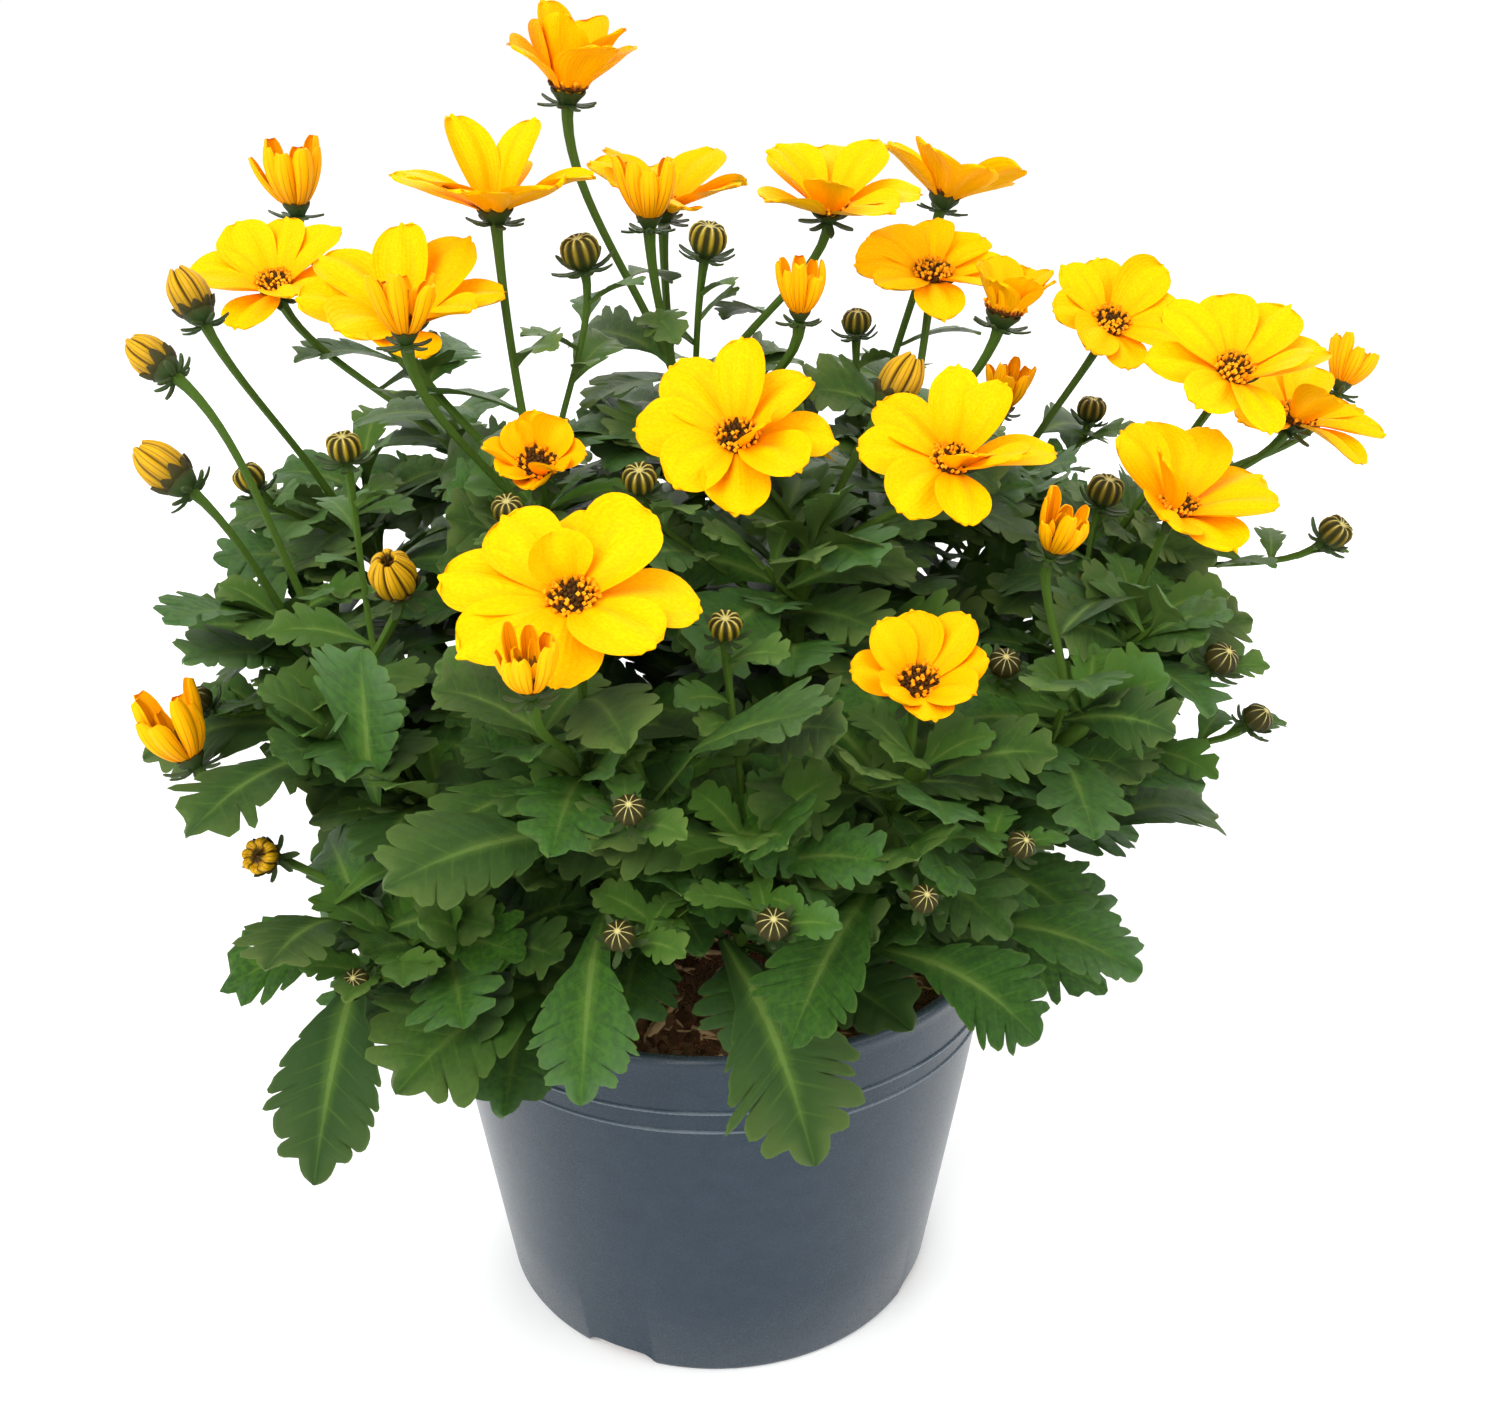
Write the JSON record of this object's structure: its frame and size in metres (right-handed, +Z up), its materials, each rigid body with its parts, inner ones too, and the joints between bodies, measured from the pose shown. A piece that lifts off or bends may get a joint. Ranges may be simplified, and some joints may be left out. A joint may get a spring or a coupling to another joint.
{
  "type": "potted bidens",
  "caption": "Bushy potted bidens with golden yellow daisy-like flowers, half-open heads and buds over lobed green leaves, standing in a round blue-grey grower's pot.",
  "frame": {"origin": "on the pot's axis, at the middle of the flat underside that it stands on", "axes": "+Z up along the pot's axis, -Y towards the plant's front with the largest open flower, +X to the right seen from the front"},
  "size_m": [0.2824, 0.2168, 0.2852],
  "materials": {
    "pot_plastic": "slate blue-grey polypropylene, semi-gloss",
    "soil": "moist reddish-brown coir and bark crumbs, rough",
    "foliage": "living leaf and stem, dark bluish green with paler midribs, soft satin",
    "petal": "soft yellow petal with fine lengthwise veins, orange at the root",
    "young_petal": "rolled orange-yellow petal with brown stripes",
    "bud": "closed bud, yellow between olive brown bracts"
  },
  "bodies": {
    "root": {"pot": "pot_plastic", "soil": "soil", "stem_01": "foliage", "stem_02": "foliage", "stem_03": "foliage", "stem_04": "foliage", "stem_05": "foliage", "stem_06": "foliage", "stem_07": "foliage", "stem_08": "foliage", "stem_09": "foliage", "stem_10": "foliage", "stem_11": "foliage", "stem_12": "foliage", "stem_13": "foliage", "stem_14": "foliage", "stem_15": "foliage", "stem_16": "foliage", "stem_17": "foliage", "stem_18": "foliage", "bloom_01": "petal", "bloom_02": "petal", "bloom_03": "petal", "bloom_04": "petal", "bloom_05": "petal", "bloom_06": "petal", "bloom_07": "petal", "bloom_08": "petal", "bloom_09": "petal", "bloom_10": "petal", "bloom_11": "petal", "bloom_12": "petal", "bloom_13": "petal", "bloom_14": "petal", "bloom_15": "petal", "bloom_16": "petal", "bloom_17": "petal", "bloom_18": "petal", "bloom_19": "petal", "bloom_20": "petal", "half_open_01": "young_petal", "half_open_02": "young_petal", "half_open_03": "young_petal", "half_open_04": "young_petal", "half_open_05": "young_petal", "half_open_06": "young_petal", "half_open_07": "young_petal", "half_open_08": "young_petal", "half_open_09": "young_petal", "half_open_10": "young_petal", "bud_01": "bud", "bud_02": "bud", "bud_03": "bud", "bud_04": "bud", "bud_05": "bud", "bud_06": "bud"}
  },
  "joints": []
}
